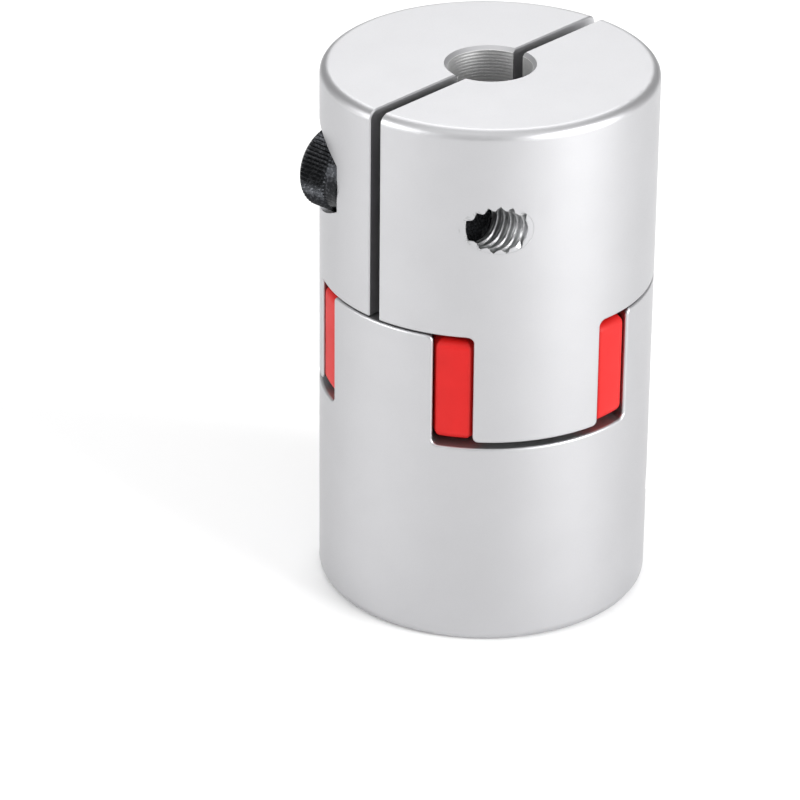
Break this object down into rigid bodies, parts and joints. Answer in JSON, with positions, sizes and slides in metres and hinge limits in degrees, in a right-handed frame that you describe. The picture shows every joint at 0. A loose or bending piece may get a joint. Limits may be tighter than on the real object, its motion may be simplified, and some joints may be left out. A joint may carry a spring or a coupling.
{
  "type": "jaw coupling",
  "caption": "Jaw coupling that joins shafts end to end: slit aluminium clamp hubs, jaws interlocked round a red elastomer spider, each hub closed by a black cap screw.",
  "frame": {"origin": "centre of the lower bore in the flat end face that the assembly stands on", "axes": "+Z along the shafts from the lower hub to the upper hub, +X towards the upper hub's full-length slit and its clamp screw, -Y towards the heads of both screws"},
  "size_m": [0.04, 0.04, 0.0666],
  "materials": {
    "hub_aluminium": "bead blasted and clear anodised, satin",
    "spider_polyurethane": "moulded red polyurethane, soft sheen",
    "screw_steel": "black oxide with a trace of oil, knurled head"
  },
  "bodies": {
    "lower_hub": {"lower_hub": "hub_aluminium"},
    "spider": {"spider": "spider_polyurethane"},
    "upper_hub": {"upper_hub": "hub_aluminium"},
    "lower_clamp_screw": {"lower_clamp_screw": "screw_steel"},
    "upper_clamp_screw": {"upper_clamp_screw": "screw_steel"}
  },
  "joints": [
    {"name": "torsional_wind_up", "type": "hinge", "parent": "lower_hub", "child": "spider", "pos_m": [0, 0, 0.0333], "axis": [0, 0, 1], "range_deg": [-3, 3], "stiffness_Nm_per_rad": 650, "deforming": ["spider"]},
    {"name": "axial_plug_in", "type": "slide", "parent": "spider", "child": "upper_hub", "axis": [0, 0, 1], "range_m": [0, 0.015]},
    {"name": "upper_screw_turn", "type": "hinge", "parent": "upper_hub", "child": "upper_clamp_screw", "pos_m": [0.0141, -0.0071, 0.0544], "axis": [0, -1, 0], "range_deg": [0, 720]},
    {"name": "lower_screw_turn", "type": "hinge", "parent": "lower_hub", "child": "lower_clamp_screw", "pos_m": [-0.0141, -0.0071, 0.0122], "axis": [0, -1, 0], "range_deg": [0, 720]}
  ]
}
